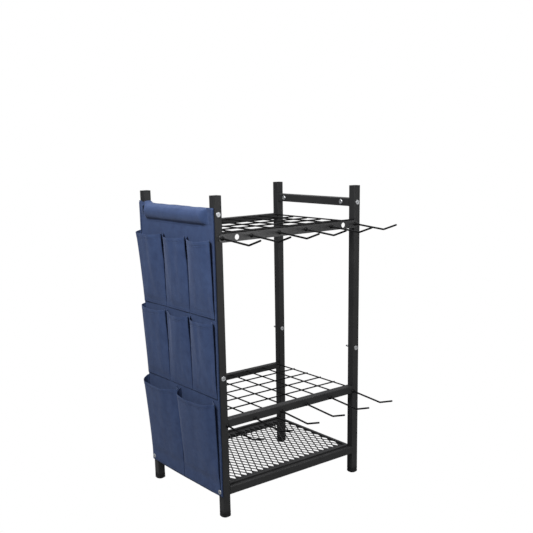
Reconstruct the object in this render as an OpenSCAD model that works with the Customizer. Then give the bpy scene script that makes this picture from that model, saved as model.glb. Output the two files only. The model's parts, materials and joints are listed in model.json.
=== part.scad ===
// Freestanding garden tool rack: four square-tube posts in two lengths, bolted cross rails, two wire
// grids that keep long handles upright, an expanded-metal shelf, two rows of hooks along the front and
// a canvas organiser with eight pockets on the left side.
// X runs left to right, Y from front to back, Z up. The origin is under the middle of the whole rack.

/* [Frame] */
// Height of the rack, from the soles of the feet to the tops of the caps
frame_h = 960; // [900:10:1040]
// Distance between the post centres, left to right
post_pitch_x = 531; // [500:1:560]
// Distance between the post centres, front to back
post_pitch_y = 380; // [360:1:420]
// Height of the seam between the lower and the upper posts
seam_h = 405; // [380:5:420]
// Height of the bolts that lock the seams
joint_bolt_h = 437.5; // [430:0.5:450]

/* [Square tube] */
// Outside width of the posts, front rails and top bars
tube_w = 25; // [24:0.5:27]
// Outside width of the thin back rails
slim_w = 20; // [18:0.5:22]
// Outside corner radius of all tubes
tube_r = 2.2; // [1.6:0.1:3]
// Wall thickness of all tubes
tube_wall = 1.2; // [1:0.1:1.5]
// Length of the connecting sleeve inside each seam
sleeve_l = 130; // [110:5:160]
// Length of the threaded plug inside each rail end
insert_l = 16; // [12:1:24]

/* [Rail heights] */
// Height of the centre line of the bottom rails
bottom_rail_h = 84; // [70:1:110]
// Height of the top faces of the middle rails
mid_rail_top_h = 309.5; // [290:0.5:330]
// Distance from the rack's top down to the top face of the upper back rail
back_rail_drop = 107; // [90:1:130]
// Distance from the rack's top down to the centre line of the top side bars
top_bar_drop = 52; // [40:1:65]

/* [Wire grids] */
// Distance between neighbouring grid wires
grid_pitch = 70; // [60:1:80]
// Diameter of the grid wires
grid_wire_d = 4.5; // [4:0.1:5]
// Depth of the wire centres below the rail tops
grid_drop = 3.5; // [3:0.1:4]
// Length that the cross wires stand out past the last depth wire
grid_stub = 17; // [8:1:18]
// Diameter of the rod along the front of the upper grid
border_rod_d = 6; // [5:0.5:7]

/* [Shelf] */
// Width of the flat bars round the shelf
shelf_bar_w = 10; // [8:0.5:11]
// Thickness of those flat bars
shelf_bar_t = 5; // [4:0.5:6]
// Distance from the rail's front face back to the bar
shelf_bar_inset = 13.5; // [12:0.5:14]
// Gap between the shelf's side bars and the posts
shelf_side_gap = 3; // [1:0.5:6]
// Thickness of the expanded sheet
mesh_t = 2; // [1.5:0.1:3]
// Short way of one diamond, left to right
mesh_pitch_x = 21.5; // [18:0.5:28]
// Long way of one diamond, front to back
mesh_pitch_y = 42; // [36:1:50]
// Width of the strands
mesh_strand = 3.2; // [2.4:0.1:4]
// Width of the closed edge of the sheet
mesh_edge = 3; // [2:0.5:5]

/* [Hooks] */
// Number of hooks in a row
hook_count = 6; // [6]
// Distance between neighbouring hooks
hook_pitch = 102.2; // [98:0.2:104]
// Diameter of the hook rod
hook_d = 5; // [4:0.5:6]
// Length of the shaft from its seat to the corner
hook_shaft_l = 122; // [90:1:140]
// Length of the upturned end
hook_tip_l = 53; // [40:1:60]
// Angle by which the shaft falls
hook_fall_angle = 4; // [2:0.5:8]
// Angle by which the end rises
hook_rise_angle = 18.5; // [12:0.5:30]
// Diameter of the ball at the foot of each hook
hook_ball_d = 11; // [9:0.5:13]
// Distance from the middle rail's top face down to the foot of the lower hooks
lower_hook_drop = 18; // [6:0.5:19]
// Distance from the upper back rail's top face down to the middle of the hook plate
plate_drop = 11; // [11:0.5:20]
// Height of the hook plate itself
plate_w = 24; // [20:0.5:26]
// Thickness of the hook plate
plate_t = 2; // [1.5:0.1:3]
// Diameter of the two hanging holes in the plate
plate_hole_d = 16; // [12:0.5:18]

/* [Bolts] */
// Thread diameter of all bolts
bolt_d = 6; // [5:0.5:6]
// Diameter of the bolt heads
bolt_head_d = 15; // [12:0.5:16]
// Height of the bolt heads
bolt_head_h = 2.5; // [2:0.1:3]
// Width of the hexagon socket across its corners
bolt_socket_d = 4.6; // [4:0.1:5]
// Length of thread that stands out behind the seam bolts' posts
bolt_tail = 19; // [10:1:22]
// Width of the nuts across their corners
nut_d = 11.5; // [10:0.5:13]
// Height of the nuts
nut_h = 5; // [4:0.5:6]
// Distance of the cross bolts in the right top bar from the posts
cross_bolt_inset = 36; // [25:1:60]

/* [Feet and caps] */
// Height of the feet below the post tubes
foot_h = 18; // [15:1:25]
// Amount by which the feet stand out round the posts
foot_flare = 1.2; // [0.8:0.1:2]
// Corner radius of the feet
foot_r = 6; // [4:0.5:8]
// Thickness of the caps on the post tops
cap_h = 2; // [1.5:0.1:3]
// Depth of the plugs of feet and caps inside the tubes
plug_l = 12; // [8:1:16]

/* [Canvas organiser] */
// Thickness of the canvas
canvas_t = 1.5; // [1.2:0.1:2.5]
// Distance from the rack's top down to the top edge of the back panel
canvas_top_drop = 33; // [25:1:36]
// Height of the bottom edge of the back panel
canvas_bottom_h = 69; // [60:1:72]
// Length of the sleeve's hem below the top bar
sleeve_hem = 10; // [6:1:20]
// Amount by which the sleeve's roll stands out from the back panel
sleeve_bulge = 6.5; // [3:0.5:8]
// Corner radius of the roll
sleeve_r = 12; // [8:0.5:14]
// Width of the hem left free along the front edge
front_hem_w = 8; // [5:0.5:15]
// Distance from the panel's top edge down to the rims of the upper pockets
rim_drop = 87; // [80:1:100]
// Distance from the upper pockets' rims down to the middle ones
rim_step_1 = 234; // [220:1:240]
// Distance from the middle pockets' rims down to the bottom ones
rim_step_2 = 238; // [220:1:245]
// Distance from the heads of the canvas bolts up to the bottom pockets' seam
pocket_hem = 3.5; // [2:0.5:10]
// Distance between a row's seam and the rims of the row below
pocket_row_gap = 7; // [4:1:12]
// Depth of the upper pockets at their rims
upper_depth = 28; // [20:1:40]
// Depth of the middle pockets at their rims
middle_depth = 23; // [18:1:35]
// Depth of the bottom pockets at their rims
bottom_depth = 34; // [24:1:45]
// Depth of all pockets at their seams
seam_depth = 5; // [4:0.5:8]
// Gap between neighbouring pockets
pocket_gap = 1; // [0.6:0.1:3]

/* [Hidden] */

// Smoothness of round shapes
$fn = 48;

// Clearances: between pieces that seat on each other, round a tube's plug, round a bolt in a wall
// and round a bolt in a thread; and the overrun of every cut
seat_gap = 0.3;
plug_gap = 0.15;
bolt_gap = 0.25;
thread_gap = 0.08;
cut = 1;

// Share of a tube's outer corner radius that is left on its inner corners
inner_r_share = 0.45;
// Shares of a bolt head: the height of its straight rim, the width of its top, the depth of its socket
head_rim_share = 0.55;
head_top_share = 0.82;
head_socket_share = 0.7;
// Share of a plug's length that the bolt's thread fills
thread_share = 0.8;
// Shares of a foot's height: the top of its rounded sole, the top of its waist
foot_sole_share = 0.55;
foot_waist_share = 0.72;
// Shares of a foot's flare and half width: the depth of its waist and the radius of its flat sole
foot_waist_depth_share = 0.7;
foot_flat_share = 0.78;
// Shares of a pocket's height and depth at which its belly lies
belly_height_share = 0.45;
belly_depth_share = 0.55;
// Exponent of the pockets' squared arch, and the number of its steps
arch_power = 3;
arch_steps = 14;
// Half a turn, in degrees
half_turn = 180;

// Places of the posts and their faces
post_x = post_pitch_x / 2;
post_y = post_pitch_y / 2;
side_face = post_x + tube_w / 2;
side_inner = post_x - tube_w / 2;
front_face = -post_y - tube_w / 2;
rail_back = -post_y + tube_w / 2;
back_rail_front = post_y - slim_w / 2;
tube_inner_w = tube_w - 2 * tube_wall;
slim_inner_w = slim_w - 2 * tube_wall;

// Heights of the rails' centre lines, the hooks and the canvas
back_rail_top_h = frame_h - back_rail_drop;
top_bar_h = frame_h - top_bar_drop;
lower_hook_h = mid_rail_top_h - lower_hook_drop;
plate_mid_h = back_rail_top_h - plate_drop;
canvas_top_h = frame_h - canvas_top_drop;
rim_1_h = canvas_top_h - rim_drop;
rim_2_h = rim_1_h - rim_step_1;
rim_3_h = rim_2_h - rim_step_2;
front_mid_h = mid_rail_top_h - tube_w / 2;
back_mid_h = mid_rail_top_h - slim_w / 2;
back_top_h = back_rail_top_h - slim_w / 2;
bottom_top_h = bottom_rail_h + tube_w / 2;

// Wires: counts, heights and ends
depth_wire_n = floor(2 * side_inner / grid_pitch) + 1;
cross_wire_n = floor(2 * (post_y - tube_w / 2) / grid_pitch) - 1;
lower_grid_h = mid_rail_top_h - grid_drop;
upper_grid_h = back_rail_top_h - grid_drop;
layer_step = grid_wire_d + plug_gap;
cross_wire_half = (depth_wire_n - 1) / 2 * grid_pitch + grid_stub;
border_rod_h = upper_grid_h + grid_wire_d / 2 + plug_gap + border_rod_d / 2;

// Shelf outline
shelf_half_x = side_inner - shelf_side_gap;
shelf_half_y = -front_face - shelf_bar_inset;
mesh_half_y = post_y - tube_w / 2 - seat_gap;

// Hooks and their plate
hook_turn_angle = hook_fall_angle + hook_rise_angle;
plate_front = front_face - plate_t;

// Canvas planes, outward from the left posts
canvas_inner = -side_face - bolt_head_h - seat_gap;
canvas_outer = canvas_inner - canvas_t;
canvas_half = post_y + tube_w / 2;
sleeve_half = post_y - tube_w / 2 - seat_gap;
sleeve_low_h = top_bar_h - tube_w / 2 - seat_gap - canvas_t;

// Reach of the whole rack, and the shift that puts the origin under its middle
reach_left = canvas_outer - max(upper_depth, middle_depth, bottom_depth);
reach_right = side_face + max(bolt_head_h, nut_h);
hook_reach = hook_shaft_l * cos(hook_fall_angle) + hook_tip_l * cos(hook_rise_angle) + hook_d / 2;
reach_front = plate_front - hook_reach;
reach_back = -front_face + bolt_tail;
shift = [-(reach_left + reach_right) / 2, -(reach_front + reach_back) / 2, 0];

STEEL = [0.16, 0.16, 0.17];
GLOSS = [0.24, 0.25, 0.26];
BLACK = [0.06, 0.06, 0.065];
ZINC = [0.78, 0.79, 0.8];
NAVY = [0.2, 0.26, 0.42];

// Square with round corners
module round_square(w, r) {
    square([w - 2 * r, w], center = true);
    square([w, w - 2 * r], center = true);
    for (sx = [-1, 1], sy = [-1, 1])
        translate([sx * (w / 2 - r), sy * (w / 2 - r)]) circle(r = r);
}

// Square tube standing on the floor of its own frame
module tube(w, l) {
    linear_extrude(l) difference() {
        round_square(w, tube_r);
        round_square(w - 2 * tube_wall, tube_r * inner_r_share);
    }
}

// Solid that fits the inside of a tube
module tube_core(w, l) {
    linear_extrude(l) round_square(w - 2 * plug_gap, tube_r * inner_r_share);
}

// Turns a piece that stands up so that it points out of one face of the rack
module facing(side) {
    turns = side == "front" ? [90, 0, 0]
        : side == "back" ? [-90, 0, 0]
        : side == "right" ? [0, 90, 0] : [0, -90, 0];
    rotate(turns) children();
}

// Cylinder through a tube's two walls, along X or Y
module bore_x(h) {
    translate([0, 0, h]) rotate([0, 90, 0])
        cylinder(d = bolt_d + 2 * bolt_gap, h = tube_w + 2 * cut, center = true);
}

module bore_y(h) {
    translate([0, 0, h]) rotate([90, 0, 0])
        cylinder(d = bolt_d + 2 * bolt_gap, h = tube_w + 2 * cut, center = true);
}

// Lower post of the front (sy = -1) or the back (sy = 1)
module lower_post(sx, sy) {
    mid_h = sy < 0 ? front_mid_h : back_mid_h;
    color(STEEL) translate([sx * post_x, sy * post_y, 0]) difference() {
        translate([0, 0, foot_h]) tube(tube_w, seam_h - foot_h);
        bore_x(bottom_rail_h);
        bore_x(mid_h);
    }
}

// Upper post, with the seam bolt's bore, the top bar's bore and, at the back, the upper rail's
module upper_post(sx, sy) {
    color(STEEL) translate([sx * post_x, sy * post_y, 0]) difference() {
        translate([0, 0, seam_h + seat_gap]) tube(tube_w, frame_h - cap_h - seam_h - seat_gap);
        bore_y(joint_bolt_h);
        bore_y(top_bar_h);
        if (sy > 0) bore_x(back_top_h);
    }
}

// Tube-in-tube sleeves that join the posts at the seams
module post_sleeves() {
    color(STEEL) for (sx = [-1, 1], sy = [-1, 1])
        translate([sx * post_x, sy * post_y, 0]) difference() {
            translate([0, 0, seam_h - sleeve_l / 2]) tube_core(tube_inner_w, sleeve_l);
            translate([0, 0, seam_h - sleeve_l / 2 - cut]) linear_extrude(sleeve_l + 2 * cut)
                round_square(tube_inner_w - 2 * plug_gap - 2 * tube_wall, tube_r * inner_r_share);
            bore_y(joint_bolt_h);
        }
}

// Flat caps with a plug that holds them in the post tops
module post_caps() {
    color(BLACK) for (sx = [-1, 1], sy = [-1, 1])
        translate([sx * post_x, sy * post_y, frame_h - cap_h]) {
            linear_extrude(cap_h) round_square(tube_w, tube_r);
            translate([0, 0, -plug_l]) tube_core(tube_inner_w, plug_l);
        }
}

// Foot: rounded sole, narrow waist, bead under the tube, and a plug inside it
module foot(sx, sy) {
    foot_w = tube_w + 2 * foot_flare;
    waist_w = foot_w - 2 * foot_flare * foot_waist_depth_share;
    sole_h = foot_h * foot_sole_share;
    waist_h = foot_h * foot_waist_share;
    corner = foot_w / sqrt(2);
    flat_r = foot_w / 2 * foot_flat_share;
    color(BLACK) translate([sx * post_x, sy * post_y, 0]) {
        intersection() {
            linear_extrude(sole_h) round_square(foot_w, foot_r);
            union() {
                cylinder(r1 = flat_r, r2 = corner, h = sole_h / 2);
                translate([0, 0, sole_h / 2]) cylinder(r = corner, h = sole_h);
            }
        }
        translate([0, 0, sole_h]) linear_extrude(waist_h - sole_h) round_square(waist_w, foot_r);
        translate([0, 0, waist_h]) linear_extrude(foot_h - waist_h) round_square(foot_w, foot_r);
        translate([0, 0, foot_h]) tube_core(tube_inner_w, plug_l);
    }
}

// Rail along X between the posts
module rail_x(w, y, h) {
    color(STEEL) translate([-side_inner, y, h]) rotate([0, 90, 0]) tube(w, 2 * side_inner);
}

// Top bar along Y between a side's posts; the right one has two cross bolts
module top_bar(sx) {
    color(STEEL) translate([sx * post_x, rail_back, top_bar_h]) difference() {
        rotate([-90, 0, 0]) tube(tube_w, 2 * (post_y - tube_w / 2));
        if (sx > 0) for (inset = [cross_bolt_inset, 2 * (post_y - tube_w / 2) - cross_bolt_inset])
            translate([0, inset, 0]) bore_x(0);
    }
}

// Threaded plug that fills the end of a rail, bored along its length
module end_plug(inner_w) {
    difference() {
        tube_core(inner_w, insert_l);
        translate([0, 0, -cut]) cylinder(d = bolt_d + 2 * thread_gap, h = insert_l + 2 * cut);
    }
}

module rail_end_plugs() {
    color(ZINC) {
        for (sx = [-1, 1], at = [
            [-post_y, bottom_rail_h, tube_inner_w], [post_y, bottom_rail_h, tube_inner_w],
            [-post_y, front_mid_h, tube_inner_w], [post_y, back_mid_h, slim_inner_w],
            [post_y, back_top_h, slim_inner_w]
        ])
            translate([sx * side_inner, at[0], at[1]]) facing(sx < 0 ? "right" : "left") end_plug(at[2]);
        for (sx = [-1, 1], sy = [-1, 1])
            translate([sx * post_x, -sy * rail_back, top_bar_h])
                facing(sy < 0 ? "back" : "front") end_plug(tube_inner_w);
    }
}

// Bolt whose head stands up from the seat, with its shank of length l below
module bolt(l) {
    rim_h = bolt_head_h * head_rim_share;
    difference() {
        union() {
            cylinder(d = bolt_head_d, h = rim_h);
            translate([0, 0, rim_h])
                cylinder(d1 = bolt_head_d, d2 = bolt_head_d * head_top_share, h = bolt_head_h - rim_h);
            translate([0, 0, -l]) cylinder(d = bolt_d, h = l);
        }
        translate([0, 0, bolt_head_h * (1 - head_socket_share)])
            cylinder(d = bolt_socket_d, h = bolt_head_h, $fn = 6);
    }
}

module hex_nut() {
    difference() {
        cylinder(d = nut_d, h = nut_h, $fn = 6);
        translate([0, 0, -cut]) cylinder(d = bolt_d + 2 * thread_gap, h = nut_h + 2 * cut);
    }
}

// Bolts through the posts into the ends of the rails, all but the two that also hold the canvas
module rail_bolts() {
    l = tube_w + insert_l * thread_share;
    color(ZINC) {
        for (sx = [-1, 1], at = [[-post_y, front_mid_h], [post_y, back_mid_h], [post_y, back_top_h]])
            translate([sx * side_face, at[0], at[1]]) facing(sx < 0 ? "left" : "right") bolt(l);
        for (sy = [-1, 1])
            translate([side_face, sy * post_y, bottom_rail_h]) facing("right") bolt(l);
    }
}

// The two bottom bolts on the left pass through the corners of the canvas
module canvas_bolts() {
    color(ZINC) for (sy = [-1, 1])
        translate([canvas_outer, sy * post_y, bottom_rail_h])
            facing("left") bolt(tube_w + insert_l * thread_share - canvas_outer - side_face);
}

module top_bar_bolts() {
    color(ZINC) for (sx = [-1, 1], sy = [-1, 1])
        translate([sx * post_x, -sy * front_face, top_bar_h])
            facing(sy < 0 ? "front" : "back") bolt(tube_w + insert_l * thread_share);
}

module seam_bolts() {
    color(ZINC) for (sx = [-1, 1], sy = [-1, 1])
        translate([sx * post_x, sy * post_y - tube_w / 2, joint_bolt_h])
            facing("front") bolt(tube_w + bolt_tail);
}

module seam_nuts() {
    color(ZINC) for (sx = [-1, 1], sy = [-1, 1])
        translate([sx * post_x, sy * post_y + tube_w / 2, joint_bolt_h]) facing("back") hex_nut();
}

// Cross bolts through the right top bar: heads inside the rack, nuts outside
module cross_bolts() {
    color(ZINC) for (sy = [-1, 1])
        translate([side_inner, -sy * (rail_back + cross_bolt_inset), top_bar_h])
            facing("left") bolt(tube_w + nut_h);
}

module cross_nuts() {
    color(ZINC) for (sy = [-1, 1])
        translate([side_face, -sy * (rail_back + cross_bolt_inset), top_bar_h]) facing("right") hex_nut();
}

// Wires from front to back, laid on the cross wires
module depth_wires(h, y0, y1) {
    color(BLACK) for (i = [0 : depth_wire_n - 1])
        translate([(i - (depth_wire_n - 1) / 2) * grid_pitch, y0 + plug_gap, h]) rotate([-90, 0, 0])
            cylinder(d = grid_wire_d, h = y1 - y0 - 2 * plug_gap);
}

module cross_wires(h) {
    color(BLACK) for (j = [0 : cross_wire_n - 1])
        translate([-cross_wire_half, (j - (cross_wire_n - 1) / 2) * grid_pitch, h - layer_step])
            rotate([0, 90, 0]) cylinder(d = grid_wire_d, h = 2 * cross_wire_half);
}

// Rod behind the top edge of the hook plate, on the wires' front ends
module upper_grid_front_rod() {
    color(BLACK) translate([-side_inner + plug_gap, front_face + border_rod_d / 2 + plug_gap, border_rod_h])
        rotate([0, 90, 0]) cylinder(d = border_rod_d, h = 2 * (side_inner - plug_gap));
}

// Flat bars on the bottom rails, round the expanded sheet
module shelf_bars() {
    color(STEEL) translate([0, 0, bottom_top_h]) {
        for (sy = [-1, 1])
            translate([-shelf_half_x, sy * (shelf_half_y - shelf_bar_w / 2) - shelf_bar_w / 2, 0])
                cube([2 * shelf_half_x, shelf_bar_w, shelf_bar_t]);
        for (sx = [-1, 1])
            translate([sx * (shelf_half_x - shelf_bar_w / 2) - shelf_bar_w / 2, shelf_bar_w - shelf_half_y, 0])
                cube([shelf_bar_w, 2 * (shelf_half_y - shelf_bar_w), shelf_bar_t]);
    }
}

// Expanded sheet: one plate with a staggered lattice of diamonds
module shelf_mesh() {
    // The strands take the same width off every side of a diamond
    side_dist = mesh_pitch_x * mesh_pitch_y / 2 / norm([mesh_pitch_x, mesh_pitch_y]);
    open_share = 1 - mesh_strand / 2 / side_dist;
    half_x = mesh_pitch_x / 2 * open_share;
    half_y = mesh_pitch_y / 2 * open_share;
    cols = floor(shelf_half_x / mesh_pitch_x) * 2 + 2;
    rows = floor(mesh_half_y / mesh_pitch_y) * 2 + 2;
    centres = [
        for (i = [-cols : cols], j = [-rows : rows])
            let (x = i * mesh_pitch_x / 2, y = j * mesh_pitch_y / 2)
                if ((i + j) % 2 == 0
                    && abs(x) + half_x + mesh_edge < shelf_half_x
                    && abs(y) + half_y + mesh_edge < mesh_half_y) [x, y]
    ];
    color(STEEL) translate([0, 0, bottom_top_h - mesh_t]) linear_extrude(mesh_t) difference() {
        square([2 * shelf_half_x, 2 * mesh_half_y], center = true);
        for (c = centres) translate(c) polygon([[half_x, 0], [0, half_y], [-half_x, 0], [0, -half_y]]);
    }
}

// Flat plate with full-round ends round the outer hooks, and two hanging holes
module hook_plate() {
    end_x = (hook_count - 1) / 2 * hook_pitch;
    hole_x = end_x - hook_pitch / 2;
    color(GLOSS) translate([0, front_face, plate_mid_h]) rotate([90, 0, 0])
        linear_extrude(plate_t) difference() {
            union() {
                square([2 * end_x, plate_w], center = true);
                for (sx = [-1, 1]) translate([sx * end_x, 0]) circle(d = plate_w);
            }
            for (sx = [-1, 1]) translate([sx * hole_x, 0]) circle(d = plate_hole_d);
        }
}

// Hook pointing forward: ball on its seat, falling shaft, rounded corner and rising end
module hook() {
    rotate([hook_fall_angle, 0, 0]) {
        translate([0, -hook_d / 2, 0]) rod(hook_shaft_l - hook_d / 2);
        translate([0, -hook_shaft_l, 0]) {
            sphere(d = hook_d);
            rotate([-hook_turn_angle, 0, 0]) {
                rod(hook_tip_l);
                translate([0, -hook_tip_l, 0]) sphere(d = hook_d);
            }
        }
    }
    intersection() {
        sphere(d = hook_ball_d);
        translate([-hook_ball_d, -2 * hook_ball_d, -hook_ball_d]) cube(2 * hook_ball_d);
    }
}

module rod(l) {
    rotate([90, 0, 0]) cylinder(d = hook_d, h = l);
}

// One of a row of hooks, counted from the left
module hook_at(i, y, h) {
    color(BLACK) translate([(i - (hook_count + 1) / 2) * hook_pitch, y, h]) hook();
}

// Back panel of the organiser: full height over the posts, lower between them for the sleeve
module canvas_back() {
    color(NAVY) translate([canvas_outer, 0, 0]) rotate([90, 0, 90]) linear_extrude(canvas_t) difference() {
        polygon([
            [-canvas_half, canvas_bottom_h], [canvas_half, canvas_bottom_h],
            [canvas_half, canvas_top_h], [sleeve_half, canvas_top_h],
            [sleeve_half, sleeve_low_h], [-sleeve_half, sleeve_low_h],
            [-sleeve_half, canvas_top_h], [-canvas_half, canvas_top_h]
        ]);
        for (sy = [-1, 1]) translate([sy * post_y, bottom_rail_h]) circle(d = bolt_d + 2 * bolt_gap);
    }
}

// Sleeve of canvas rolled round the left top bar, with the hem that is sewn over the back panel
module canvas_sleeve() {
    out_x = canvas_outer - sleeve_bulge;
    in_x = -side_inner + seat_gap + canvas_t;
    top_h = top_bar_h + tube_w / 2 + seat_gap + 2 * canvas_t;
    color(NAVY) translate([0, sleeve_half - seat_gap, 0]) rotate([90, 0, 0])
        linear_extrude(2 * (sleeve_half - seat_gap)) {
            difference() {
                sleeve_outline(out_x, in_x, sleeve_low_h, top_h, sleeve_r);
                sleeve_outline(out_x + canvas_t, in_x - canvas_t, sleeve_low_h + canvas_t,
                    top_h - canvas_t, sleeve_r - canvas_t);
            }
            translate([canvas_outer - canvas_t, sleeve_low_h - sleeve_hem])
                square([canvas_t, sleeve_hem + 2 * canvas_t]);
        }
}

module sleeve_outline(x0, x1, z0, z1, r) {
    translate([x0 + r, z0]) square([x1 - x0 - 2 * r, z1 - z0]);
    translate([x0, z0 + r]) square([x1 - x0, z1 - z0 - 2 * r]);
    for (x = [x0 + r, x1 - r], z = [z0 + r, z1 - r]) translate([x, z]) circle(r = r);
}

// Plan of a pocket: a squared arch that stands out to the left from the back panel
function arch(w, d) = [
    for (k = [0 : arch_steps])
        let (t = half_turn * k / arch_steps, e = 2 / arch_power)
            [-d * pow(abs(sin(t)), e), w / 2 * sign(cos(t)) * pow(abs(cos(t)), e)]
];

// Thin slice of that plan at one height, with its back moved by back_x
module pocket_slice(w, d, h, back_x) {
    translate([0, 0, h]) linear_extrude(canvas_t / 2)
        polygon(concat([[back_x, w / 2]], arch(w, d), [[back_x, -w / 2]]));
}

module pocket_form(w, depth, inset, h0, h1, back_x) {
    hull() {
        pocket_slice(w, seam_depth - inset, h0, back_x);
        pocket_slice(w, depth * belly_depth_share - inset, h0 + (h1 - h0) * belly_height_share, back_x);
        pocket_slice(w, depth - inset, h1 - canvas_t / 2, back_x);
    }
}

// Pocket number i of n in a row, counted from the back, from its seam up to its rim
module pocket(i, n, seam_at, rim_at, depth) {
    pitch = (2 * canvas_half - front_hem_w) / n;
    w = pitch - pocket_gap;
    color(NAVY) translate([canvas_outer, canvas_half - (i - 1 / 2) * pitch, 0]) difference() {
        pocket_form(w, depth, 0, seam_at, rim_at, 0);
        pocket_form(w - 2 * canvas_t, depth, canvas_t, seam_at + canvas_t, rim_at + cut, cut);
    }
}

seam_1_h = rim_2_h + pocket_row_gap;
seam_2_h = rim_3_h + pocket_row_gap;
seam_3_h = bottom_rail_h + bolt_head_d / 2 + pocket_hem;

translate(shift) {
    lower_post(-1, -1);  // lower_post_front_left
    lower_post(1, -1);  // lower_post_front_right
    lower_post(-1, 1);  // lower_post_back_left
    lower_post(1, 1);  // lower_post_back_right
    upper_post(-1, -1);  // upper_post_front_left
    upper_post(1, -1);  // upper_post_front_right
    upper_post(-1, 1);  // upper_post_back_left
    upper_post(1, 1);  // upper_post_back_right
    post_sleeves();
    post_caps();
    foot(-1, -1);  // foot_front_left
    foot(1, -1);  // foot_front_right
    foot(-1, 1);  // foot_back_left
    foot(1, 1);  // foot_back_right
    rail_x(tube_w, -post_y, bottom_rail_h);  // front_bottom_rail
    rail_x(tube_w, post_y, bottom_rail_h);  // back_bottom_rail
    rail_x(tube_w, -post_y, front_mid_h);  // front_mid_rail
    rail_x(slim_w, post_y, back_mid_h);  // back_mid_rail
    rail_x(slim_w, post_y, back_top_h);  // back_top_rail
    top_bar(-1);  // left_top_bar
    top_bar(1);  // right_top_bar
    rail_end_plugs();
    shelf_bars();
    shelf_mesh();
    depth_wires(lower_grid_h, rail_back, back_rail_front);  // lower_grid_depth_wires
    cross_wires(lower_grid_h);  // lower_grid_cross_wires
    depth_wires(upper_grid_h, front_face, back_rail_front);  // upper_grid_depth_wires
    cross_wires(upper_grid_h);  // upper_grid_cross_wires
    upper_grid_front_rod();
    hook_plate();
    hook_at(1, plate_front, plate_mid_h);  // plate_hook_1
    hook_at(2, plate_front, plate_mid_h);  // plate_hook_2
    hook_at(3, plate_front, plate_mid_h);  // plate_hook_3
    hook_at(4, plate_front, plate_mid_h);  // plate_hook_4
    hook_at(5, plate_front, plate_mid_h);  // plate_hook_5
    hook_at(6, plate_front, plate_mid_h);  // plate_hook_6
    hook_at(1, front_face, lower_hook_h);  // lower_hook_1
    hook_at(2, front_face, lower_hook_h);  // lower_hook_2
    hook_at(3, front_face, lower_hook_h);  // lower_hook_3
    hook_at(4, front_face, lower_hook_h);  // lower_hook_4
    hook_at(5, front_face, lower_hook_h);  // lower_hook_5
    hook_at(6, front_face, lower_hook_h);  // lower_hook_6
    rail_bolts();
    canvas_bolts();
    top_bar_bolts();
    seam_bolts();
    seam_nuts();
    cross_bolts();
    cross_nuts();
    canvas_back();
    canvas_sleeve();
    pocket(1, 3, seam_1_h, rim_1_h, upper_depth);  // pocket_upper_1
    pocket(2, 3, seam_1_h, rim_1_h, upper_depth);  // pocket_upper_2
    pocket(3, 3, seam_1_h, rim_1_h, upper_depth);  // pocket_upper_3
    pocket(1, 3, seam_2_h, rim_2_h, middle_depth);  // pocket_middle_1
    pocket(2, 3, seam_2_h, rim_2_h, middle_depth);  // pocket_middle_2
    pocket(3, 3, seam_2_h, rim_2_h, middle_depth);  // pocket_middle_3
    pocket(1, 2, seam_3_h, rim_3_h, bottom_depth);  // pocket_bottom_1
    pocket(2, 2, seam_3_h, rim_3_h, bottom_depth);  // pocket_bottom_2
}
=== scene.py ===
import json
import math
import bpy
import numpy as np
from mathutils import Matrix, Vector


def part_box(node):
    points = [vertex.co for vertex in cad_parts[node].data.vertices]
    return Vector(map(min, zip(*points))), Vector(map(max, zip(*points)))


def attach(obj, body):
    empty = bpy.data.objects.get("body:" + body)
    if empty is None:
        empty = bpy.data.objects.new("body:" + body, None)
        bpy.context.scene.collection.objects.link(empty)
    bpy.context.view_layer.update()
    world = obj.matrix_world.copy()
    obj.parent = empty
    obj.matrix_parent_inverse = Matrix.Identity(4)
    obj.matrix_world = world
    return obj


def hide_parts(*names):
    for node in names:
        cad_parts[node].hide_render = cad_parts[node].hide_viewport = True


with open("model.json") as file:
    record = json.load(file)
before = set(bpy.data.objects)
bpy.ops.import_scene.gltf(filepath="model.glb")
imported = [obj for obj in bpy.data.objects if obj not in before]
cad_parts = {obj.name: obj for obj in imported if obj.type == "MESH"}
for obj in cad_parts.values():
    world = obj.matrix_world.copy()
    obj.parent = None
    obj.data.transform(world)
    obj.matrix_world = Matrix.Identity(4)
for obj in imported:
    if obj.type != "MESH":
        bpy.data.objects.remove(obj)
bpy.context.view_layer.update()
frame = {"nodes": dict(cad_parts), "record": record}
nodes = frame["nodes"]
MM = 0.001


# Shader helpers
def new_material(name):
    """A node material, with its tree and its main shader."""
    material = bpy.data.materials.new(name)
    material.use_nodes = True
    tree = material.node_tree
    return material, tree, tree.nodes["Principled BSDF"]


def add(tree, kind, inputs=None, **props):
    """A shader node with its properties and socket values set."""
    node = tree.nodes.new(kind)
    for key, value in props.items():
        setattr(node, key, value)
    for key, value in (inputs or {}).items():
        node.inputs[key].default_value = value
    return node


def ramp(tree, source, lo, hi, dark, light):
    """Maps source from lo..hi onto the colours dark..light."""
    node = add(tree, "ShaderNodeValToRGB")
    first, last = node.color_ramp.elements
    first.position = lo
    first.color = (*dark, 1)
    last.position = hi
    last.color = (*light, 1)
    tree.links.new(source, node.inputs["Fac"])
    return node.outputs["Color"]


def scalar(tree, source, lo, hi):
    """Maps source from 0..1 onto lo..hi."""
    node = add(tree, "ShaderNodeMapRange", {"To Min": lo, "To Max": hi})
    tree.links.new(source, node.inputs["Value"])
    return node.outputs["Result"]


def noise(tree, coord, scale, detail=4.0, rough=0.5):
    node = add(tree, "ShaderNodeTexNoise", {"Scale": scale, "Detail": detail, "Roughness": rough})
    tree.links.new(coord, node.inputs["Vector"])
    return node.outputs["Fac"]


def coords(tree, kind="Object"):
    return add(tree, "ShaderNodeTexCoord").outputs[kind]


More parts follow.
